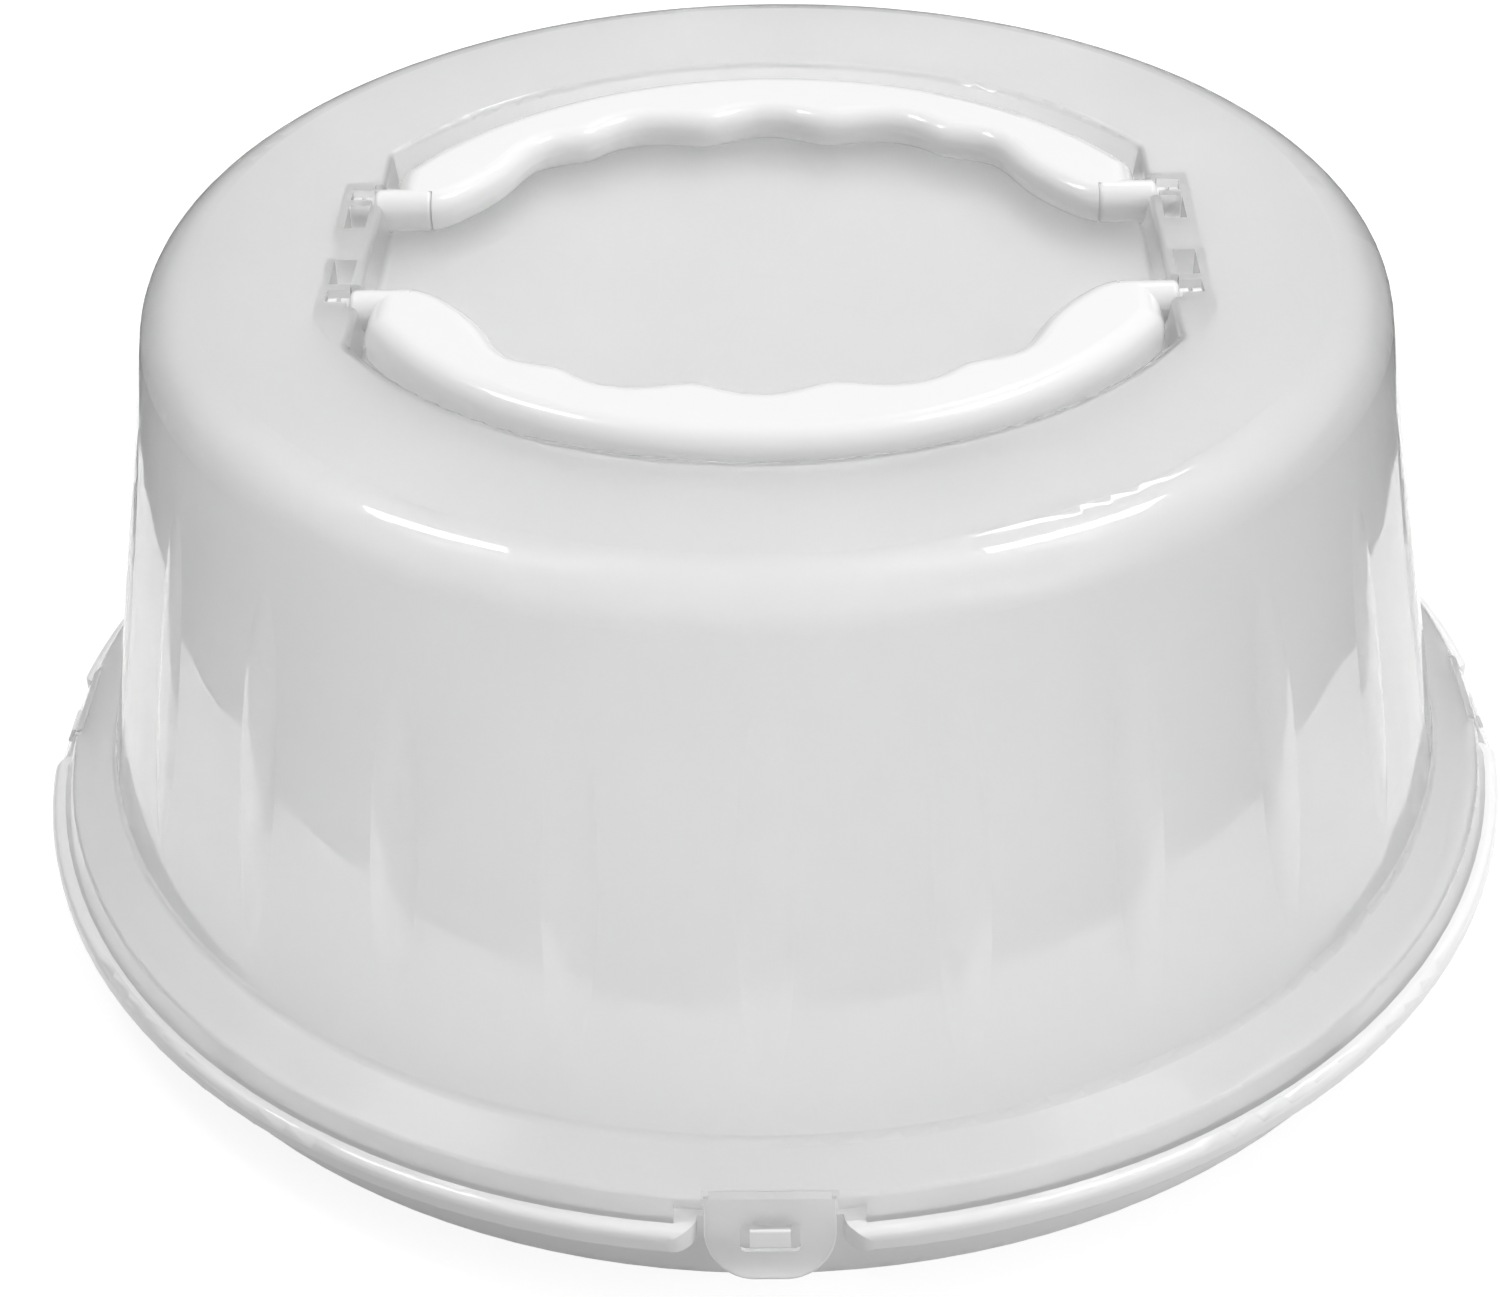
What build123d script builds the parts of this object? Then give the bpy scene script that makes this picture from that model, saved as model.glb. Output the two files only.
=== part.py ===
"""Round cake carrier: a base tray, a tall clip-down dome lid, two fold-down
carrying handles and four snap latches that hang from the lid's flange.

Millimetres, +Z up.  The origin is the centre of the tray's underside and the
front of the carrier faces -Y.
"""
from math import atan2, cos, degrees, radians, sin, tan
import os

from build123d import *

os.makedirs("parts", exist_ok=True)

# ------------------------------------------------------------------ sizes
# Base tray
foot_radius = 160.2          # outside of the foot circle on the table
tray_lean = 11.0             # outward lean of the tray wall, degrees
tray_wall = 2.0              # wall and foot thickness
floor_height = 6.0           # top face of the tray floor
floor_thickness = 2.0
floor_round = 3.0            # inside corner between floor and wall
stiffener_radius = 82.0      # ring under the floor that also stands on the table
rim_height = 20.3            # flat land that the lid's skirt stands on
rim_width = 5.85             # reach of the rim beyond the tray wall
rim_wall = 1.8
rim_lip = 4.8                # height of the turned-down lip
rim_round = 2.2              # outer top edge of the rim
upstand_rise = 3.2           # locating rib above the land, inside the skirt
upstand_wall = 1.6
upstand_gap = 0.8            # between that rib and the skirt
edge_round = 0.5             # broken edges of the moulded pieces

# Lid
lid_wall = 1.6
skirt_setback = 3.2          # lower edge of the skirt, in from the rim's edge
skirt_lean = 25.2            # slope of the skirt from the vertical, degrees
skirt_depth = 5.1            # height of the skirt
flange_width = 10.7          # from the flange's edge to the foot of the dome wall
flange_rise = 5.1
dome_rise = 116.4            # from the foot of the dome wall to the flat top
dome_lean = 10.55            # inward lean of the dome wall, degrees
shoulder_round = 12.1
flange_round = 1.8           # edge between flange and skirt
foot_round = 2.5             # inside corner between flange and dome wall

# Raised pillars moulded around the dome wall
pillar_count = 24
pillar_width = 11.6
pillar_proud = 0.7
pillar_foot_gap = 13.0       # lower tip above the foot of the dome wall
pillar_head_gap = 24.4       # upper tip below the flat top

# Handles
pivot_spacing = 46.2         # between the two pivot axes
pivot_depth = 3.9            # axes below the flat top
barrel_length = 12.8
barrel_step = 3.7            # outer end of the barrel beyond the flat handle body
barrel_round = 1.2           # outer end of the barrel
pin_radius = 2.9
pin_length = 5.0
pin_groove_radius = 2.2
pin_groove_width = 0.9
pin_round = 0.4
handle_front = 83.7          # outer edge of the handle from the carrier's middle
handle_reach = 82.6          # half width of the flat handle body
handle_end = 12.0            # straight side of the handle, beyond its axis
handle_thickness = 9.2
handle_outer_round = 5.5
handle_under_round = 1.0
handle_corner = 7.0          # plan corner between the arc and the handle's end
nose_flat = 0.1              # left flat between the rounds of the grip's inner edge
grip_width = 20.5            # at the middle of the grip
# The finger waves: place as a share of the way from the middle of the grip to
# its end, and the width there over grip_width
grip_waves = (
    (0.0, 1.0),
    (0.081, 1.078),
    (0.158, 1.157),
    (0.249, 1.020),
    (0.359, 0.888),
    (0.418, 0.929),
    (0.469, 0.976),
    (0.527, 0.917),
    (0.593, 0.844),
    (0.659, 0.902),
    (0.733, 1.010),
    (0.820, 1.051),
    (0.894, 1.010),
    (0.945, 0.940),
)
core_inset = 8.4             # middle of the hollows, in from the outer edge
core_width = 7.0             # hollows moulded into the underside of the grip
core_depth = 6.0
core_count = 6
core_span = 78.0             # degrees of the arc that is cored
core_rib = 2.0

# Handle recess in the lid's top
recess_gap = 5.8             # around the handle's outer arc
recess_end_gap = 1.8         # beside the handle's end
recess_draft = 8.0
recess_round = 1.6           # rim and floor of the recess
recess_corner = 3.0          # plan corners of the recess
barrel_floor_gap = 0.6       # under the barrels
pin_clearance = 0.08
barrel_clearance = 0.35
socket_wall = 2.2
snap_share = 0.86            # mouth of the pin slot, as a share of the pin
relief_length = 10.6         # pocket that lets the socket's inner cheek bend

# Latches
latch_width = 25.9
latch_length = 16.5          # down the slope, from the flange's edge
latch_wall = 1.6
latch_corner = 10.0
latch_side_gap = 0.4         # beside the hinge, in the flange
hinge_width = 24.0
hinge_film = 0.5             # thickness of the living hinge
hinge_length = 1.45          # from the flange's edge in to the hinge axis
hinge_gap = 0.15             # between the film's nose and the flange
slot_width = 11.7
slot_height = 5.4
slot_drop = 5.2              # from the flange's edge down the slope
slot_corner = 1.0
lug_width = 8.0
lug_height = 3.8
lug_proud = 0.6              # beyond the latch's outer face
lug_clearance = 0.9          # above the lug, in the slot
rim_gap = 28.7               # width of the break in the rim at each latch
rim_gap_round = 5.2
skirt_gap = 37.5             # width of the break in the skirt at each latch

# ---------------------------------------------------------------- derived
tray_slope = tan(radians(tray_lean))
rim_radius = foot_radius + rim_height * tray_slope + rim_width
slope_sin = sin(radians(skirt_lean))
slope_cos = cos(radians(skirt_lean))
skirt_slope = slope_sin / slope_cos
skirt_radius = rim_radius - skirt_setback
flange_edge_radius = skirt_radius - skirt_depth * skirt_slope
flange_edge_height = rim_height + skirt_depth
dome_foot_radius = flange_edge_radius - flange_width
dome_foot_height = flange_edge_height + flange_rise
dome_height = dome_foot_height + dome_rise
dome_slope = tan(radians(dome_lean))
pillar_low = dome_foot_height + pillar_foot_gap
pillar_high = dome_height - pillar_head_gap
pivot_offset = pivot_spacing / 2
pivot_height = dome_height - pivot_depth
barrel_radius = handle_thickness / 2
barrel_reach = handle_reach + barrel_step
pin_end = barrel_reach + pin_length
handle_top = pivot_height + barrel_radius
handle_bottom = pivot_height - barrel_radius
handle_inner_round = (handle_thickness - nose_flat) / 2
handle_side = -pivot_offset - handle_end
handle_bulge = handle_front + handle_side
handle_arc_radius = (handle_reach**2 + handle_bulge**2) / (2 * handle_bulge)
handle_arc_offset = handle_arc_radius - handle_front
recess_reach = handle_reach + recess_end_gap
recess_arc_radius = handle_arc_radius + recess_gap
recess_floor = pivot_height - barrel_radius - barrel_floor_gap
latch_angles = {"front": -90, "right": 0, "back": 90, "left": 180}


def dome_radius(height):
    """Outside radius of the plain dome wall at a height above the table."""
    return dome_foot_radius - (height - dome_foot_height) * dome_slope


def tray_radius(height):
    """Outside radius of the tray wall at a height above the table."""
    return foot_radius + height * tray_slope


def on_slope(down, out):
    """Radius and height of a point on the latch: down the slope, out of its face."""
    return (
        flange_edge_radius + down * slope_sin + out * slope_cos,
        flange_edge_height - down * slope_cos + out * slope_sin,
    )


# -------------------------------------------------------------- base tray
# Floor, foot, wall and the upstand that locates the lid, as one turned profile.
tray_top = rim_height + upstand_rise
upstand_radius = skirt_radius - lid_wall / slope_cos - upstand_rise * skirt_slope - upstand_gap
tray_points = [
    (0, floor_height - floor_thickness),
    (stiffener_radius - tray_wall, floor_height - floor_thickness),
    (stiffener_radius - tray_wall, 0),
    (stiffener_radius, 0),
    (stiffener_radius, floor_height - floor_thickness),
    (foot_radius - tray_wall, floor_height - floor_thickness),
    (foot_radius - tray_wall, 0),
    (foot_radius, 0),
    (tray_radius(rim_height), rim_height),
    (upstand_radius, rim_height),
    (upstand_radius, tray_top),
    (upstand_radius - upstand_wall, tray_top),
    (tray_radius(floor_height) - tray_wall, floor_height),
    (0, floor_height),
]
tray_radii = [0, 0, 0, 0, 0, 0, 0, edge_round, 0, 0, edge_round, edge_round, floor_round, 0]
with BuildSketch(Plane.XZ) as tray_profile:
    with BuildLine():
        FilletPolyline(*tray_points, radius=tray_radii, close=True)
    make_face()

# The rim is a flat land turned down into a lip.  It breaks at each latch, with
# rounded ends, so it is a turned section limited by a rounded plan.
rim_root = tray_radius(rim_height) - tray_wall / 2
rim_foot = rim_height - rim_lip


def rim_plan(outer, inner, gap, corner):
    """Plan of the rim: a ring broken at each latch, with rounded outer corners."""
    with BuildSketch() as plan:
        Circle(outer)
        Circle(inner, mode=Mode.SUBTRACT)
        with PolarLocations(outer, len(latch_angles)):
            Rectangle(outer, gap, mode=Mode.SUBTRACT)
        fillet(plan.vertices().filter_by(lambda v: v.center().length > (outer + inner) / 2), corner)
    return plan.sketch


with BuildPart() as rim_solid:
    with BuildSketch(Plane.XZ):
        with BuildLine():
            FilletPolyline(
                (rim_root, rim_foot),
                (rim_radius, rim_foot),
                (rim_radius, rim_height),
                (rim_root, rim_height),
                radius=[0, edge_round, rim_round, 0],
                close=True,
            )
        make_face()
    revolve(axis=Axis.Z)
    with BuildSketch(Plane.XY.offset(rim_foot)):
        add(rim_plan(rim_radius, rim_root, rim_gap, rim_gap_round))
    extrude(amount=rim_lip, mode=Mode.INTERSECT)
    with BuildSketch(Plane.XY.offset(rim_foot)):
        add(
            rim_plan(
                rim_radius - rim_wall,
                tray_radius(rim_foot) - tray_wall / 2,
                rim_gap + 2 * rim_wall,
                rim_gap_round - rim_wall,
            )
        )
    extrude(amount=rim_lip - rim_wall, mode=Mode.SUBTRACT)

# One lug, seen in the radial section, stands out of the wall through the slot.
lug_top = slot_drop + lug_clearance
lug_root = -(latch_wall + 2 * tray_wall)
with BuildPart() as lug:
    with BuildSketch(Plane.XZ):
        with BuildLine():
            FilletPolyline(
                on_slope(lug_top, lug_proud),
                on_slope(lug_top + lug_height, lug_proud),
                on_slope(lug_top + lug_height, lug_root),
                on_slope(lug_top, lug_root),
                radius=[edge_round, edge_round, 0, 0],
                close=True,
            )
        make_face()
    extrude(amount=lug_width / 2, both=True)

with BuildPart() as base_tray:
    add(tray_profile.sketch)
    revolve(axis=Axis.Z)
    add(rim_solid.part)
    with PolarLocations(0, len(latch_angles)):
        add(lug.part)

# -------------------------------------------------------------------- lid
# Outer and inner surfaces of the lid, each turned as a solid plug.  The skirt is
# drawn past its edge and cut off level, so both plugs end in a clean plane.
skirt_spare = 2 * lid_wall
shoulder_radius = dome_radius(dome_height)
lid_points = [
    (skirt_radius + skirt_spare * skirt_slope, rim_height - skirt_spare),
    (flange_edge_radius, flange_edge_height),
    (dome_foot_radius, dome_foot_height),
    (shoulder_radius, dome_height),
    (0, dome_height),
]
with BuildLine() as lid_line:
    FilletPolyline(*lid_points, radius=[flange_round, foot_round, shoulder_round])
with BuildLine() as cavity_line:
    offset(lid_line.line, amount=lid_wall, side=Side.LEFT, closed=False)


def plug(line):
    """Solid turned from an open line, closed down its axis and across its foot."""
    top, low = sorted((line @ 0, line @ 1), key=lambda end: end.X)
    with BuildPart() as solid:
        with BuildSketch(Plane.XZ):
            with BuildLine():
                add(line)
                Polyline(top, (0, low.Y), low)
            make_face()
        revolve(axis=Axis.Z)
    return solid.part


# A pillar is a slice of a long barrel-shaped spindle that lies just under the
# wall, so that it swells out of the wall and runs out at its tips.
pillar_middle = (pillar_low + pillar_high) / 2
pillar_reach = (pillar_high - pillar_low) / 2 / cos(radians(dome_lean))
half_width = pillar_width / 2
spindle_radius = 1 / (2 * pillar_proud / half_width**2 + 1 / dome_radius(pillar_middle))
pillar_plane = Plane(
    origin=(dome_radius(pillar_middle), 0, pillar_middle),
    x_dir=(cos(radians(dome_lean)), 0, sin(radians(dome_lean))),
    z_dir=(0, -1, 0),
)
spindle_depth = spindle_radius - pillar_proud
spindle_axis = Axis(
    pillar_plane.from_local_coords((-spindle_depth, 0)),
    pillar_plane.y_dir,
)
with BuildPart() as spindle:
    with BuildSketch(pillar_plane):
        with BuildLine():
            ThreePointArc((0, -pillar_reach), (pillar_proud, 0), (0, pillar_reach))
            Polyline(
                (0, pillar_reach),
                (-lid_wall / 2, pillar_reach),
                (-lid_wall / 2, -pillar_reach),
                (0, -pillar_reach),
            )
        make_face()
    revolve(axis=spindle_axis, revolution_arc=44)
pillar = spindle.part.rotate(spindle_axis, -22)

# The recess for the handles, in plan: two arcs a little outside the handles'
# own, cut off square beside their ends.


def recess_plan(grow):
    """Plan of the recess, grown all round by an amount."""
    reach = recess_reach + grow
    radius = recess_arc_radius + grow
    side = handle_arc_offset - (radius**2 - reach**2) ** 0.5
    with BuildSketch() as plan:
        with BuildLine():
            ThreePointArc((-reach, side), (0, handle_arc_offset - radius), (reach, side))
            Line((reach, side), (reach, -side))
            ThreePointArc((reach, -side), (0, radius - handle_arc_offset), (-reach, -side))
            Line((-reach, -side), (-reach, side))
        make_face()
        fillet(plan.vertices(), recess_corner + grow)
    return plan.sketch


def recess_plug(grow, floor):
    """The recess as a drafted plug, from the lid's top down to a floor."""
    with BuildPart() as solid:
        with BuildSketch(Plane.XY.offset(dome_height)):
            add(recess_plan(grow))
        extrude(amount=floor - dome_height, taper=recess_draft)
        fillet(solid.edges().group_by(Axis.Z)[0], recess_round + grow)
    return solid.part


recess = recess_plug(0, recess_floor)
tub = recess_plug(lid_wall, recess_floor - lid_wall)

# Sockets at the ends of the recess: a block under the lid's top takes each pin,
# which snaps down through a slot a little narrower than itself.  A wider pocket
# beside it clears the end of the barrel, and a relief pocket towards the middle
# of the lid lets the socket's cheek bend.
socket_start = recess_reach - (dome_height - recess_floor) * tan(radians(recess_draft)) - lid_wall
bore_radius = pin_radius + pin_clearance
pocket_radius = barrel_radius + barrel_clearance
pocket_end = barrel_reach + barrel_clearance
bore_end = pin_end + pin_clearance
socket_out = pocket_radius + socket_wall
socket_in = bore_radius + socket_wall + relief_length + socket_wall


with BuildPart() as socket_block:
    with BuildSketch(Plane.XY.offset(dome_height)):
        with Locations((socket_start, -socket_out)):
            Rectangle(
                bore_end + socket_wall - socket_start,
                socket_out + socket_in,
                align=(Align.MIN, Align.MIN),
            )
    extrude(amount=recess_floor - lid_wall - dome_height)
with BuildPart() as socket_bore:
    for radius, mouth, end in (
        (bore_radius, snap_share * pin_radius, bore_end),
        (pocket_radius, pocket_radius, pocket_end),
    ):
        with BuildSketch(Plane.YZ.offset(socket_start)):
            with Locations((0, pivot_height)):
                Circle(radius)
                Rectangle(2 * mouth, 2 * pivot_depth, align=(Align.CENTER, Align.MIN))
        extrude(amount=end - socket_start)
    with BuildSketch(Plane.XY.offset(dome_height)):
        with Locations((pocket_end, bore_radius + socket_wall)):
            Rectangle(bore_end - pocket_end, relief_length, align=(Align.MIN, Align.MIN))
    extrude(amount=-pivot_depth - bore_radius)


def at_pivots(piece):
    """The piece, made for the pivot pocket at +X, put at all four of them."""
    front = piece.translate((0, -pivot_offset, 0))
    pair = [front, front.mirror(Plane.YZ)]
    return pair + [copy.mirror(Plane.XZ) for copy in pair]


# At each latch the skirt is cut away under the flange, and the flange's edge is
# cut back where the living hinge lies.
flange_normal = Vector(dome_foot_height - flange_edge_height, 0, flange_edge_radius - dome_foot_radius)
flange_normal = flange_normal.normalized()
flange_slope = (dome_foot_height - flange_edge_height) / (flange_edge_radius - dome_foot_radius)
flange_under = lid_wall / flange_normal.Z
notch_in = flange_edge_radius - 3 * lid_wall
notch_out = rim_radius + lid_wall


def flange_height(radius):
    """Height of the flange's upper face, carried on past its edge."""
    return flange_edge_height + (flange_edge_radius - radius) * flange_slope


with BuildPart() as skirt_notch:
    with BuildSketch(Plane.XZ):
        with BuildLine():
            Polyline(
                (notch_in, flange_height(notch_in) - flange_under),
                (notch_out, flange_height(notch_out) - flange_under),
                (notch_out, rim_height - skirt_spare),
                (notch_in, rim_height - skirt_spare),
                close=True,
            )
        make_face()
    extrude(amount=skirt_gap / 2, both=True)
hinge_radius, hinge_height = (
    flange_edge_radius - hinge_length * flange_normal.Z - hinge_film / 2 * flange_normal.X,
    flange_edge_height + hinge_length * flange_normal.X - hinge_film / 2 * flange_normal.Z,
)
with BuildPart() as hinge_notch:
    with BuildSketch(Plane.XY.offset(rim_height)):
        with Locations((hinge_radius - hinge_film / 2 - hinge_gap + lid_wall * 3, 0)):
            Rectangle(lid_wall * 6, latch_width + 2 * latch_side_gap)
    extrude(amount=dome_foot_height - rim_height)

with BuildPart() as dome_lid:
    add(plug(lid_line.line))
    with PolarLocations(0, pillar_count):
        add(pillar)
    add(plug(cavity_line.line), mode=Mode.SUBTRACT)
    add(recess_plug(lid_wall, recess_floor - lid_wall))
    add(at_pivots(socket_block.part))
    add(recess_plug(0, recess_floor), mode=Mode.SUBTRACT)
    top_edges = dome_lid.edges().filter_by_position(Axis.Z, dome_height, dome_height)
    fillet(top_edges.sort_by(SortBy.LENGTH)[:-1], recess_round)
    add(at_pivots(socket_bore.part), mode=Mode.SUBTRACT)
    with PolarLocations(0, len(latch_angles)):
        add(skirt_notch.part, mode=Mode.SUBTRACT)
        add(hinge_notch.part, mode=Mode.SUBTRACT)
    split(bisect_by=Plane.XY.offset(rim_height), keep=Keep.TOP)

# ---------------------------------------------------------------- handles
pivot_axis = Axis((0, -pivot_offset, pivot_height), (1, 0, 0))
groove_start = barrel_reach + (pin_length - pin_groove_width) / 2
grip_end = (barrel_reach - barrel_length, barrel_radius - pivot_offset)
grip_end_angle = degrees(atan2(grip_end[0], handle_arc_offset - grip_end[1]))


def grip_point(place, share):
    """Point of the front handle's inner edge, at a share of the grip's width."""
    angle = radians(place * grip_end_angle)
    reach = handle_arc_radius - share * grip_width
    return (reach * sin(angle), handle_arc_offset - reach * cos(angle))


grip_half = [grip_point(place, share) for place, share in grip_waves]
grip_curve = [(-x, y) for x, y in reversed(grip_half[1:])] + grip_half
core_radius = handle_arc_radius - core_inset
core_angle = core_span / core_count - degrees((core_width + core_rib) / core_radius)

grip_side = handle_arc_offset - (handle_arc_radius**2 - grip_end[0] ** 2) ** 0.5

with BuildPart() as handle:
    # The grip first, so that its inner edge is rounded over its whole height.
    with BuildSketch(Plane.XY.offset(handle_bottom)):
        with BuildLine():
            ThreePointArc(
                (-grip_end[0], grip_side),
                (0, handle_arc_offset - handle_arc_radius),
                (grip_end[0], grip_side),
            )
            Line((grip_end[0], grip_side), grip_end)
            Spline((-grip_end[0], grip_end[1]), *grip_curve, grip_end)
            Line((-grip_end[0], grip_end[1]), (-grip_end[0], grip_side))
        make_face()
    extrude(amount=handle_thickness)
    for height in (handle_top, handle_bottom):
        rim = handle.edges().filter_by_position(Axis.Z, height, height)
        fillet(rim.filter_by(GeomType.BSPLINE).sort_by(SortBy.LENGTH)[-1], handle_inner_round)
    # The ends of the handle, back to the line of the pivots.
    with BuildSketch(Plane.XY.offset(handle_bottom)):
        with BuildLine():
            RadiusArc((grip_end[0], grip_side), (handle_reach, handle_side), -handle_arc_radius)
            Polyline(
                (handle_reach, handle_side),
                (handle_reach, -pivot_offset),
                (grip_end[0], -pivot_offset),
                (grip_end[0], grip_side),
            )
        make_face()
        mirror(about=Plane.YZ)
    extrude(amount=handle_thickness)
    ends = handle.edges().filter_by(Axis.Z).filter_by(lambda e: abs(e.center().X) > grip_end[0] + 1)
    fillet(ends.group_by(Axis.Y)[0], handle_corner)
    for height, outer_round in ((handle_top, handle_outer_round), (handle_bottom, handle_under_round)):
        rim = handle.edges().filter_by_position(Axis.Z, height, height)
        outer = rim.filter_by(GeomType.BSPLINE, reverse=True)
        fillet(outer.filter_by(lambda e: e.center().Y < -pivot_offset - edge_round), outer_round)
    # Hollows in the underside follow the middle of the grip.
    for i in range(core_count):
        middle = -90 + core_span * ((i + 0.5) / core_count - 0.5)
        with BuildSketch(Plane.XY.offset(handle_bottom)):
            with Locations((0, handle_arc_offset)):
                SlotArc(CenterArc((0, 0), core_radius, middle - core_angle / 2, core_angle), core_width)
        extrude(amount=core_depth, mode=Mode.SUBTRACT)
    # Pivot barrels and snap pins at both ends of the straight edge.
    with BuildSketch(Plane.XZ.offset(pivot_offset)) as pivot_profile:
        with BuildLine():
            FilletPolyline(
                (barrel_reach - barrel_length, pivot_height),
                (barrel_reach - barrel_length, pivot_height + barrel_radius),
                (barrel_reach, pivot_height + barrel_radius),
                (barrel_reach, pivot_height + pin_radius),
                (groove_start, pivot_height + pin_radius),
                (groove_start, pivot_height + pin_groove_radius),
                (groove_start + pin_groove_width, pivot_height + pin_groove_radius),
                (groove_start + pin_groove_width, pivot_height + pin_radius),
                (pin_end, pivot_height + pin_radius),
                (pin_end, pivot_height),
                radius=[0, barrel_round, barrel_round, 0, 0, 0, 0, 0, pin_round, 0],
                close=True,
            )
        make_face()
        mirror(about=Plane.YZ)
    revolve(axis=pivot_axis)

# ---------------------------------------------------------------- latches
latch_plane = Plane(
    origin=(flange_edge_radius, 0, flange_edge_height),
    x_dir=(0, 1, 0),
    z_dir=(slope_cos, 0, slope_sin),
)
flange_plane = Plane(
    origin=(flange_edge_radius, 0, flange_edge_height),
    x_dir=(flange_normal.Z, 0, -flange_normal.X),
    z_dir=(0, -1, 0),
)
with BuildPart() as latch:
    with BuildSketch(latch_plane):
        with Locations((0, -latch_length / 2)):
            Rectangle(latch_width, latch_length)
    extrude(amount=-latch_wall)
    across = Axis(latch_plane.origin, latch_plane.z_dir)
    fillet(latch.edges().filter_by(across).group_by(Axis.Z)[0], latch_corner)
    outer_face = latch.faces().sort_by(across)[-1]
    fillet(outer_face.edges().sort_by(Axis.Z)[:-1], edge_round)
    with BuildSketch(latch_plane):
        with Locations((0, -slot_drop - slot_height / 2)):
            RectangleRounded(slot_width, slot_height, slot_corner)
    extrude(amount=-latch_wall, mode=Mode.SUBTRACT)
    # The living hinge runs in from the plate's top edge to a round nose.
    with BuildSketch(flange_plane):
        with Locations((-hinge_length / 2, -hinge_film / 2)):
            Rectangle(hinge_length, hinge_film)
        with Locations((-hinge_length, -hinge_film / 2)):
            Circle(hinge_film / 2)
    extrude(amount=hinge_width / 2, both=True)

# ----------------------------------------------------------------- export
pieces = {
    "base_tray": base_tray.part,
    "dome_lid": dome_lid.part,
    "handle_front": handle.part,
    "handle_back": handle.part.rotate(Axis.Z, 180),
}
for side, angle in latch_angles.items():
    pieces[f"latch_{side}"] = latch.part.rotate(Axis.Z, angle)
for name, piece in pieces.items():
    piece.label = name
    export_step(piece, f"parts/{name}.step")
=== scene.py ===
# %% [markdown]
# # A cake carrier in three moulded plastics
#
# The real thing is a white tray, a milky domed lid, two white carrying
# handles folded flat in a recess of the lid, and four thin latches that hang
# from the lid and hook under the tray. The frame brings every one of those
# solids at its true size, so this lesson dresses them: it sets up a camera,
# a floor and soft lamps, and then builds the finishes out of nodes.

# %% Load the frame
import math
import bmesh
import bpy
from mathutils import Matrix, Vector

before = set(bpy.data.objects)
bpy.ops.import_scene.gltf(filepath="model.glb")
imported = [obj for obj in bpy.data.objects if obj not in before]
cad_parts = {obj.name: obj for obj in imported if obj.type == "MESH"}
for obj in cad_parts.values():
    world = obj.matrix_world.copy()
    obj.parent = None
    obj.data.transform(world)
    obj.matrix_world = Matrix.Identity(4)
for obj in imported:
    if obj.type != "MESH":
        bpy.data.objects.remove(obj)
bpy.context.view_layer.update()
print("solids:", ", ".join(sorted(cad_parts)))

# %% [markdown]
# A product camera stands well back with a long lens. The round rim is then a
# calm ellipse and the far side of the lid is nearly as wide as the near side.
# A short lens close by would be the other way, and it makes a round box look
# like a bucket. The small second angle is the tilt of a camera held by hand.

# %% Camera
CAMERA_STANDS = (0.00795, -0.56943, 0.44513)
CAMERA_TURNS = (54.497, 1.1008, 0.5257)
LENS_MM, SENSOR_MM = 71.231, 36.0
NEAREST_SEEN = 0.01

camera = bpy.data.objects.new("camera", bpy.data.cameras.new("camera"))
camera.location = CAMERA_STANDS
camera.rotation_euler = [math.radians(angle) for angle in CAMERA_TURNS]
camera.data.sensor_width = SENSOR_MM
camera.data.lens = LENS_MM
camera.data.clip_start = NEAREST_SEEN
bpy.context.collection.objects.link(camera)
bpy.context.scene.camera = camera
bpy.context.scene.view_settings.view_transform = "Standard"
print("camera stands", round(camera.location.length, 3), "m from the carrier")

# %% [markdown]
# Nodes can be placed by hand in the shader editor or by a script. A script
# repeats the same few moves, so small helpers keep the later cells short.
# The first places a node and sets it up, the second is a sum or product of
# two values, and the third starts a material that has nothing in it yet.

# %% Node helpers
WHITE = (1.0, 1.0, 1.0, 1.0)


def place(tree, kind, **settings):
    """Adds a node, and sets its properties and sockets by name."""
    made = tree.nodes.new("ShaderNode" + kind)
    for name, value in settings.items():
        if hasattr(made, name):
            setattr(made, name, value)
        else:
            made.inputs[name.replace("_", " ")].default_value = value
    return made


def sums(tree, operation, *operands, clamp=False):
    """One Math node; each operand is a socket or a number."""
    made = place(tree, "Math", operation=operation, use_clamp=clamp)
    for slot, operand in enumerate(operands):
        if isinstance(operand, bpy.types.NodeSocket):
            tree.links.new(operand, made.inputs[slot])
        else:
            made.inputs[slot].default_value = operand
    return made.outputs[0]


def bare_material(name):
    """A material with an empty node tree and one output node."""
    made = bpy.data.materials.new(name)
    made.use_nodes = True
    made.node_tree.nodes.clear()
    return made, made.node_tree, place(made.node_tree, "OutputMaterial")


# %% [markdown]
# The carrier stands on a sheet of pale paper. Paper that is lit as softly as
# this comes out light grey. More lamps would make it white, and would also
# bleach the carrier. So the paper has a small glow that only direct looks
# find: it lifts the paper to white, and the carrier's shadow stays on it.

# %% Floor paper
FLOOR_TONE, FLOOR_GLOW = 0.28, 0.84


def seen_directly(tree):
    """1 for a ray from the eye, one that gloss sends on, or one that went through the lid."""
    path = place(tree, "LightPath")
    either = sums(tree, "MAXIMUM", path.outputs["Is Camera Ray"], path.outputs["Is Glossy Ray"])
    return sums(tree, "MAXIMUM", either, path.outputs["Is Transmission Ray"])


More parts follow.
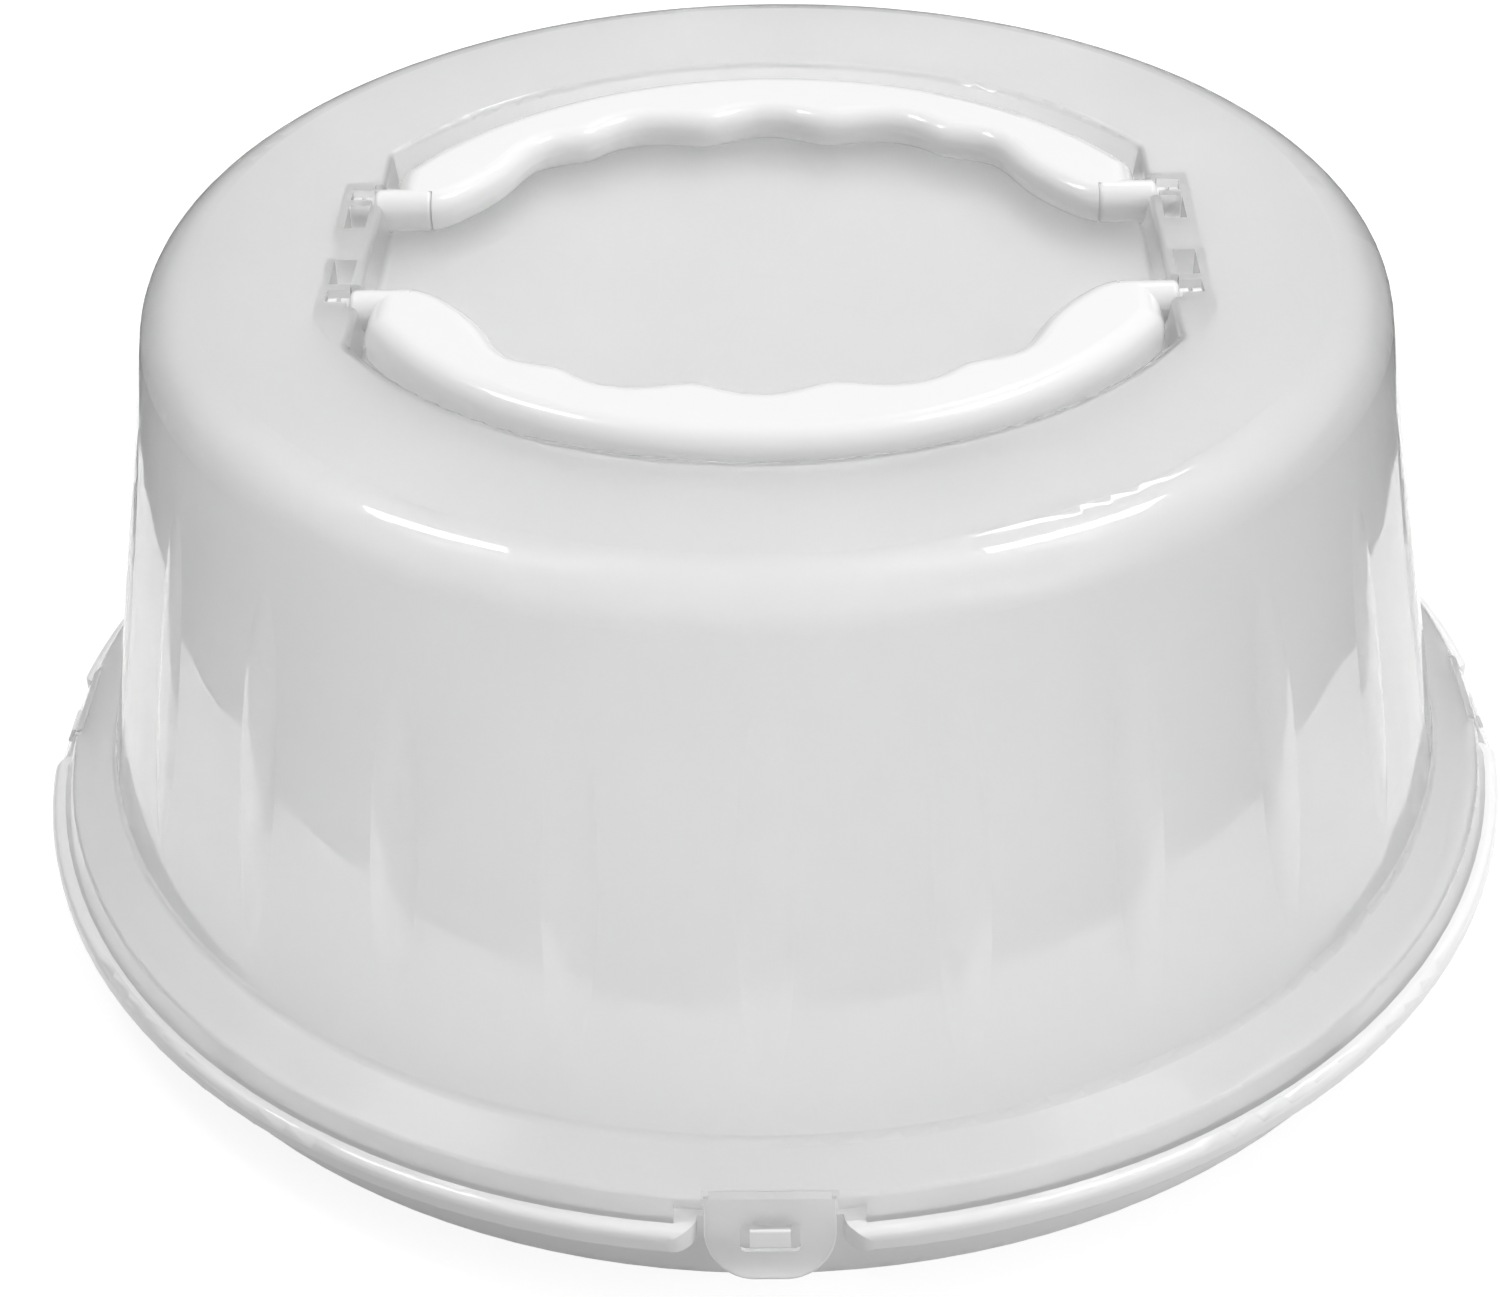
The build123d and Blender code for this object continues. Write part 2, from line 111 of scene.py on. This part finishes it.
paper, tree, end = bare_material("floor_paper")
matt = place(tree, "BsdfDiffuse", Color=(FLOOR_TONE, FLOOR_TONE, FLOOR_TONE, 1.0))
glow = place(tree, "Emission", Color=WHITE)
tree.links.new(sums(tree, "MULTIPLY", seen_directly(tree), FLOOR_GLOW), glow.inputs["Strength"])
both = place(tree, "AddShader")
tree.links.new(matt.outputs[0], both.inputs[0])
tree.links.new(glow.outputs[0], both.inputs[1])
tree.links.new(both.outputs[0], end.inputs["Surface"])
print("paper of tone", FLOOR_TONE, "glows with", FLOOR_GLOW)

# %% [markdown]
# The sheet itself is one large square. Its edge has to lie outside every
# view, so it is made eight metres wide.

# %% Floor
FLOOR_HALF = 4.0


def add_mesh(name, shape, material):
    """Turns a finished bmesh into an object at the origin."""
    data = bpy.data.meshes.new(name)
    shape.to_mesh(data)
    shape.free()
    data.materials.append(material)
    made = bpy.data.objects.new(name, data)
    bpy.context.collection.objects.link(made)
    print(name, "has", len(data.polygons), "faces")
    return made


sheet = bmesh.new()
bmesh.ops.create_grid(sheet, x_segments=1, y_segments=1, size=FLOOR_HALF)
add_mesh("floor", sheet, paper)

# %% [markdown]
# The room gives the soft light that comes from everywhere, and leaves space
# for the lamps to model the carrier. A real room is never even, so its light
# falls off from the upper right to the lower left, and the tray's wall turns
# darker on that side. Wherever the room is looked at directly it is at least
# plain white.

# %% Room light
ROOM_DARK, ROOM_BRIGHT = 0.12, 1.08
BRIGHT_SIDE = (0.45, 0.15, 0.88)
DARK_FROM, BRIGHT_FROM = -0.2, 0.9


def spread(tree, value, low, high, to_low=0.0, to_high=1.0, smooth=False):
    """Maps a value from one range onto another, and holds it inside."""
    made = place(tree, "MapRange", From_Min=low, From_Max=high, To_Min=to_low, To_Max=to_high)
    if smooth:
        made.interpolation_type = "SMOOTHSTEP"
    tree.links.new(value, made.inputs["Value"])
    return made.outputs[0]


room = bpy.data.worlds.new("soft_room")
bpy.context.scene.world = room
room.use_nodes = True
tree = room.node_tree
tree.nodes.clear()
walls = place(tree, "Background", Color=WHITE)
facing = place(tree, "VectorMath", operation="DOT_PRODUCT")
tree.links.new(place(tree, "TexCoord").outputs["Generated"], facing.inputs[0])
facing.inputs[1].default_value = BRIGHT_SIDE
fall_off = spread(tree, facing.outputs["Value"], DARK_FROM, BRIGHT_FROM, ROOM_DARK, ROOM_BRIGHT)
strength = sums(tree, "MAXIMUM", fall_off, seen_directly(tree))
tree.links.new(strength, walls.inputs["Strength"])
tree.links.new(walls.outputs[0], place(tree, "OutputWorld").inputs["Surface"])
print("room light from", ROOM_DARK, "to", ROOM_BRIGHT)

# %% [markdown]
# Round glossy plastic shows its lamps as strokes on the shoulder, and the
# size of a lamp is the length of its stroke. Two narrow softboxes, high up on
# the left and the right, give the short bright strokes at the bend between
# top and wall. Two dim ones beside them put a gleam on the flange, and one
# behind adds a glint on the far right. The last is a wide fill from the
# right, which is kept out of the reflections.


# %% Lamps
def softbox(name, stands, faces_height, width, length, power):
    """A rectangular lamp that faces a point on the carrier's axis."""
    lamp = bpy.data.lights.new(name, "AREA")
    lamp.shape = "RECTANGLE"
    lamp.size, lamp.size_y, lamp.energy = width, length, power
    made = bpy.data.objects.new(name, lamp)
    made.location = stands
    towards = Vector((0.0, 0.0, faces_height)) - Vector(stands)
    made.rotation_euler = towards.to_track_quat("-Z", "Y").to_euler()
    bpy.context.collection.objects.link(made)
    print(name, power, "W")
    return made


softbox("softbox_right", (0.53, 0.17, 1.20), 0.05, width=0.22, length=0.36, power=2.8)
softbox("softbox_left", (-0.57, 0.20, 1.16), 0.05, width=0.20, length=0.30, power=2.2)
softbox("gleam_right", (0.64, -0.12, 1.14), 0.03, width=0.20, length=0.30, power=0.14)
softbox("gleam_left", (-0.63, -0.12, 1.14), 0.03, width=0.20, length=0.26, power=0.12)
softbox("softbox_back", (0.30, 0.78, 1.05), 0.10, width=0.26, length=0.10, power=0.6)
fill = softbox("fill_right", (1.3, -1.2, 0.5), 0.08, width=1.0, length=0.9, power=3.9)
fill.visible_glossy = False

# %% [markdown]
# A studio isn't white all round: the paper ends a short way from the object
# and the room beyond is dim. That edge is what draws the tall pointed shapes
# on the ribbed wall, so it has to be there. It could be a black cloth in the
# scene, but that would take light away. So a hood of grey card is made, which
# only reflections see. Its card glows by itself: dark near the floor, and
# paler towards the top of the tent.

# %% Hood card
HOOD_LOW, HOOD_HIGH = 0.20, 0.80
PALER_FROM, PALER_TO = 0.2, 1.3

card, tree, end = bare_material("hood_card")
split = place(tree, "SeparateXYZ")
tree.links.new(place(tree, "TexCoord").outputs["Object"], split.inputs[0])
dim = place(tree, "Emission", Color=WHITE)
tree.links.new(spread(tree, split.outputs["Z"], PALER_FROM, PALER_TO, HOOD_LOW, HOOD_HIGH,
                      smooth=True), dim.inputs["Strength"])
tree.links.new(dim.outputs[0], end.inputs["Surface"])
print("card glows from", HOOD_LOW, "to", HOOD_HIGH)

# %% [markdown]
# The hood's shape starts as a circle on the floor just outside the tray. The
# circle is drawn outwards, raised as a wall, pulled in as a roof and closed
# at the top. Each step is one extrusion of the last ring of edges. At the end
# it is lifted by just over half a millimetre, so that it clears the floor.

# %% Studio hood
PAPER_EDGE = 0.30
OFF_THE_FLOOR = 0.0006
HOOD_SIDES = 96
TENT_STEPS = ((0.0, 9.0), (1.2, 1.0), (0.9, 0.75), (0.4, 0.4))

tent = bmesh.new()
bmesh.ops.create_circle(tent, cap_ends=False, segments=HOOD_SIDES, radius=PAPER_EDGE)
edges = tent.edges[:]
for rise, widen in TENT_STEPS:
    drawn = bmesh.ops.extrude_edge_only(tent, edges=edges)["geom"]
    ring = [item for item in drawn if isinstance(item, bmesh.types.BMVert)]
    edges = [item for item in drawn if isinstance(item, bmesh.types.BMEdge)
             and all(corner in ring for corner in item.verts)]
    bmesh.ops.translate(tent, vec=(0, 0, rise), verts=ring)
    bmesh.ops.scale(tent, vec=(widen, widen, 1), verts=ring)
bmesh.ops.holes_fill(tent, edges=edges)
bmesh.ops.translate(tent, vec=(0, 0, OFF_THE_FLOOR), verts=tent.verts)
hood = add_mesh("studio_hood", tent, card)
hood.visible_camera = hood.visible_diffuse = False
hood.visible_transmission = hood.visible_shadow = False

# %% [markdown]
# Every finish here is moulded plastic, so the marks of moulding are shared by
# all of them. Each mark is a node group: built once, then placed in every
# material with its own values. A group puts out plain numbers, and the shader
# that uses them stays in the material. Most marks start from a noise.


# %% Group helpers
def new_group(name, inputs, outputs):
    """An empty shader group with number sockets, its input node and its output node."""
    made = bpy.data.node_groups.new(name, "ShaderNodeTree")
    for label, value in inputs.items():
        socket = made.interface.new_socket(label, in_out="INPUT", socket_type="NodeSocketFloat")
        socket.default_value = value
    for label in outputs:
        made.interface.new_socket(label, in_out="OUTPUT", socket_type="NodeSocketFloat")
    print("group", name, "gives", ", ".join(outputs))
    return made, made.nodes.new("NodeGroupInput").outputs, made.nodes.new("NodeGroupOutput").inputs


def noise(tree, vector, scale, detail=2.0):
    """A noise value from 0 to 1 over a vector; the scale is in waves a metre."""
    made = place(tree, "TexNoise", Detail=detail)
    tree.links.new(vector, made.inputs["Vector"])
    if isinstance(scale, bpy.types.NodeSocket):
        tree.links.new(scale, made.inputs["Scale"])
    else:
        made.inputs["Scale"].default_value = scale
    return made.outputs["Fac"]


# %% [markdown]
# Look along a moulded lid and its gloss isn't a perfect mirror. The skin has
# long shallow ripples a few millimetres apart, where it shrank in the mould,
# and a much finer grain copied from the steel. Two noises of different size,
# each with its own share, give both as one height.

# %% Group: moulded skin
skin_group, given, gives = new_group(
    "moulded_skin",
    {"Ripple Scale": 160.0, "Ripple Share": 0.8, "Grain Scale": 2600.0, "Grain Share": 0.2},
    ["Height"])
where = place(skin_group, "TexCoord").outputs["Object"]
ripple = noise(skin_group, where, given["Ripple Scale"], detail=1.0)
ripple = sums(skin_group, "MULTIPLY", ripple, given["Ripple Share"])
grain = noise(skin_group, where, given["Grain Scale"], detail=3.0)
grain = sums(skin_group, "MULTIPLY", grain, given["Grain Share"])
skin_group.links.new(sums(skin_group, "ADD", ripple, grain), gives["Height"])

# %% [markdown]
# Plastic enters the lid's mould at the middle of its top and runs outwards
# and down. It sets with faint lines along its way: spokes on the top, upright
# lines on the wall. A wave texture would be too regular. Noise on the
# direction from the centre, which hardly changes along the height, gives
# lines of unequal width that meet without a seam all the way round.

# %% Group: flow lines
FLAT = (1.0, 1.0, 0.0)
CHANGE_WITH_HEIGHT = (0.0, 0.0, 0.35)

flow_group, given, gives = new_group("flow_lines", {"Lines": 26.0}, ["Height"])
where = place(flow_group, "TexCoord").outputs["Object"]
flat = place(flow_group, "VectorMath", operation="MULTIPLY")
flow_group.links.new(where, flat.inputs[0])
flat.inputs[1].default_value = FLAT
outward = place(flow_group, "VectorMath", operation="NORMALIZE")
flow_group.links.new(flat.outputs[0], outward.inputs[0])
along = place(flow_group, "VectorMath", operation="MULTIPLY_ADD")
flow_group.links.new(where, along.inputs[0])
along.inputs[1].default_value = CHANGE_WITH_HEIGHT
flow_group.links.new(outward.outputs[0], along.inputs[2])
lines = noise(flow_group, along.outputs[0], given["Lines"], detail=4.0)
flow_group.links.new(lines, gives["Height"])

# %% [markdown]
# A used carrier is never evenly shiny. Hands leave soft dull patches, and
# wiping leaves hair-thin scratches. The patches are a large noise. The
# scratches are a noise squeezed hard across one direction and kept only where
# it peaks, laid twice at different angles. Together they raise the roughness
# a little here and there, and the mask also goes to the colour.

# %% Group: handling marks
TWO_WIPES = ((0.5, (14.0, 420.0, 30.0)), (2.0, (18.0, 360.0, 40.0)))
WIPE_TILT = (0.3, 0.2)
HAIR_PEAKS = (0.68, 0.76)
SMUDGE_SCALE, SMUDGE_EDGES = 22.0, (0.42, 0.68)

marks_group, given, gives = new_group(
    "handling_marks", {"Roughness": 0.3, "Smudge": 0.06, "Scratch": 0.02},
    ["Roughness", "Scratches"])
where = place(marks_group, "TexCoord").outputs["Object"]
wipes = []
for turn, squeeze in TWO_WIPES:
    comb = place(marks_group, "Mapping", Rotation=(*WIPE_TILT, turn))
    marks_group.links.new(where, comb.inputs["Vector"])
    stretch = place(marks_group, "Mapping", Scale=squeeze)
    marks_group.links.new(comb.outputs[0], stretch.inputs["Vector"])
    hairs = noise(marks_group, stretch.outputs[0], scale=1.0, detail=1.0)
    wipes.append(spread(marks_group, hairs, *HAIR_PEAKS))
scratches = sums(marks_group, "MAXIMUM", *wipes)
smudges = noise(marks_group, where, SMUDGE_SCALE, detail=3.0)
smudges = spread(marks_group, smudges, *SMUDGE_EDGES, smooth=True)
rougher = sums(marks_group, "ADD", given["Roughness"],
               sums(marks_group, "MULTIPLY", smudges, given["Smudge"]))
rougher = sums(marks_group, "ADD", rougher,
               sums(marks_group, "MULTIPLY", scratches, given["Scratch"]), clamp=True)
marks_group.links.new(rougher, gives["Roughness"])
marks_group.links.new(scratches, gives["Scratches"])

# %% [markdown]
# White plastic isn't one white. Its pigment lies a little unevenly, and milky
# polypropylene has soft clouds where it cooled slower. This group takes the
# tone that the finish is meant to have and moves it slightly up and down: in
# wide clouds, and in specks too fine to be seen one by one.

# %% Group: pigment clouds
CLOUD_SCALE, SPECK_SCALE = 16.0, 1900.0
NOISE_MIDDLE = 0.5

cloud_group, given, gives = new_group(
    "pigment_clouds", {"Tone": 0.85, "Clouds": 0.03, "Specks": 0.01}, ["Tone"])
where = place(cloud_group, "TexCoord").outputs["Object"]
tone = given["Tone"]
for share, scale in ((given["Clouds"], CLOUD_SCALE), (given["Specks"], SPECK_SCALE)):
    swing = sums(cloud_group, "SUBTRACT", noise(cloud_group, where, scale), NOISE_MIDDLE)
    tone = sums(cloud_group, "ADD", tone, sums(cloud_group, "MULTIPLY", swing, share), clamp=True)
cloud_group.links.new(tone, gives["Tone"])

# %% [markdown]
# The tray's foot is made a little greyer: a darker band at one height, next to
# the floor, broken up by noise. The band is measured from the height above the
# floor, because the object's coordinates are the carrier's own. It is a group
# so that any edge can be given a band.

# %% Group: foot band
BAND_NOISE_SCALE, BAND_NOISE_EDGES = 240.0, (0.42, 0.62)

foot_group, given, gives = new_group(
    "foot_band", {"Height": 0.0, "Reach": 0.002, "Amount": 1.0}, ["Mask"])
where = place(foot_group, "TexCoord").outputs["Object"]
split = place(foot_group, "SeparateXYZ")
foot_group.links.new(where, split.inputs[0])
away = sums(foot_group, "ABSOLUTE",
            sums(foot_group, "SUBTRACT", split.outputs["Z"], given["Height"]))
near = sums(foot_group, "SUBTRACT", 1.0,
            sums(foot_group, "DIVIDE", away, given["Reach"]), clamp=True)
broken = spread(foot_group, noise(foot_group, where, BAND_NOISE_SCALE, detail=3.0), *BAND_NOISE_EDGES)
mask = sums(foot_group, "MULTIPLY", sums(foot_group, "MULTIPLY", near, broken), given["Amount"])
foot_group.links.new(mask, gives["Mask"])

# %% [markdown]
# All the plastics come from one recipe, which has two halves. The first is
# the colour. The tone comes from the clouds, scratches take a trace of it
# away, and a finish with a foot band is made darker along its foot.

# %% Recipe: colour
SCRATCH_SHADE, FOOT_DARKENING = 0.002, 0.15


def add_group(tree, group, **values):
    """Places a group in a material and sets its inputs."""
    made = place(tree, "Group", node_tree=group)
    for name, value in values.items():
        made.inputs[name.replace("_", " ")].default_value = value
    return made


def tinted(tree, scratches, tone, clouds, specks, foot):
    """The colour's value; foot is how far up the darker foot band reaches, in metres."""
    colour = add_group(tree, cloud_group, Tone=tone, Clouds=clouds, Specks=specks).outputs["Tone"]
    colour = sums(tree, "SUBTRACT", colour, sums(tree, "MULTIPLY", scratches, SCRATCH_SHADE))
    if foot:
        # The foot band makes the colour darker close to the floor.
        darker_foot = add_group(tree, foot_group, Height=0.0, Reach=foot).outputs["Mask"]
        colour = sums(tree, "SUBTRACT", colour, sums(tree, "MULTIPLY", darker_foot, FOOT_DARKENING),
                      clamp=True)
    return colour


# %% [markdown]
# The second half is the relief. The skin's height, and the flow lines where a
# finish has them, are added up and go into one Bump node. Its distance is a
# few hundredths of a millimetre, since a moulded skin feels quite smooth and
# only its gloss gives the waves away.


# %% Recipe: relief
def waved(tree, ripple, grain, flow, bump):
    """The bumped normal; grain and ripple share one height, and bump is its depth in metres."""
    height = add_group(tree, skin_group, Ripple_Scale=ripple, Ripple_Share=1.0 - grain,
                       Grain_Share=grain).outputs["Height"]
    if flow:
        lines = add_group(tree, flow_group).outputs["Height"]
        height = sums(tree, "ADD", height, sums(tree, "MULTIPLY", lines, flow))
    relief = place(tree, "Bump", Strength=1.0, Distance=bump)
    tree.links.new(height, relief.inputs["Height"])
    return relief.outputs[0]


# %% [markdown]
# The shader is a Principled BSDF with plastic's refractive index. Light can
# go through it (clear) or go under its skin and come back (depth), and a thin
# smooth coat lies on top. What differs from finish to finish is a row of
# numbers, so the recipe is a function.
#
# The lid's skirt stands flat on the tray, so the two faces share one plane. A
# ray that slips between them ends up inside the solid tray and finds no light
# at all, which draws a black line round the seam. The last step cures that
# with painted light: faces seen from inside glow a pale grey (inner light),
# which fills the seam.

# %% Plastic recipe
PLASTIC_IOR = 1.49
UNDER_SKIN = 0.003
COAT_ROUGHNESS = 0.03


def plastic(name, tone, roughness, clear=0.0, depth=0.0, coat=0.6, coat_index=1.5, gloss=0.5,
            clouds=0.03, specks=0.01, flow=0.0, ripple=160.0, grain=0.2, bump=0.00005,
            foot=0.0, inner_light=0.0):
    """A moulded plastic; clear and depth are the shares of light let through and under the skin."""
    made, tree, end = bare_material(name)
    skin = place(tree, "BsdfPrincipled", IOR=PLASTIC_IOR, Transmission_Weight=clear,
                 Subsurface_Weight=depth, Subsurface_Radius=(1.0, 1.0, 1.0),
                 Subsurface_Scale=UNDER_SKIN, Specular_IOR_Level=gloss,
                 Coat_Weight=coat, Coat_Roughness=COAT_ROUGHNESS, Coat_IOR=coat_index)
    marks = add_group(tree, marks_group, Roughness=roughness)
    tree.links.new(marks.outputs["Roughness"], skin.inputs["Roughness"])
    colour = tinted(tree, marks.outputs["Scratches"], tone, clouds, specks, foot)
    tree.links.new(colour, skin.inputs["Base Color"])
    tree.links.new(waved(tree, ripple, grain, flow, bump), skin.inputs["Normal"])
    # Painted light: faces seen from inside glow with the strength inner_light.
    if inner_light:
        inside = place(tree, "NewGeometry").outputs["Backfacing"]
        tree.links.new(sums(tree, "MULTIPLY", inside, inner_light), skin.inputs["Emission Color"])
        skin.inputs["Emission Strength"].default_value = 1.0
    tree.links.new(skin.outputs[0], end.inputs["Surface"])
    print(name, "tone", tone, "roughness", roughness, "clear", clear)
    return made


# %% [markdown]
# The lid is milky polypropylene, about a millimetre and a half thick. Clear
# glass with a frosted surface would blur what is behind it but would look
# like ice. A plain white would hide the tray. So most of the light goes
# through a rough surface and the rest is scattered white, and a smooth thin
# coat on top keeps the lamps' strokes crisp. The latches are the same
# plastic. They are small and handled more, so their ripples are finer and
# their grain is stronger.

# %% Milky plastics
lid_milky = plastic("lid_milky", 0.999, 0.52, clear=0.97, coat=1.0, coat_index=1.60,
                    gloss=0.2, clouds=0.02, specks=0.004, flow=1.2, grain=0.02,
                    bump=0.00003)
latch_milky = plastic("latch_milky", 0.99, 0.42, clear=0.92, coat=0.9, gloss=0.3,
                      clouds=0.02, specks=0.004, ripple=420.0, grain=0.05,
                      bump=0.00003)

# %% [markdown]
# The tray and the handles are solid white. Light goes a few millimetres into
# white plastic before it comes back, which softens its small edges, so both
# have a share of scattering under the skin. The handles are the glossier of
# the two. The tray has more grain, and a darker band along its foot.

# %% White plastics
base_white = plastic("base_white", 0.94, 0.30, depth=0.2, coat=0.6, clouds=0.03,
                     specks=0.012, grain=0.25, bump=0.00004, foot=0.0025,
                     inner_light=0.22)
handle_white = plastic("handle_white", 0.82, 0.28, depth=0.2, coat=0.8, clouds=0.02,
                       specks=0.008, ripple=220.0, grain=0.12, bump=0.00004)

# %% [markdown]
# Each solid of the frame keeps its own mesh and place. Only its material slot
# is filled again, by the kind of plastic that the piece is moulded from.

# %% Dress the solids
finishes = {"base_tray": base_white, "dome_lid": lid_milky,
            "handle_front": handle_white, "handle_back": handle_white}
for name, node in sorted(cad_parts.items()):
    node.data.materials.clear()
    node.data.materials.append(finishes.get(name, latch_milky))
    print(name, "wears", node.data.materials[0].name)
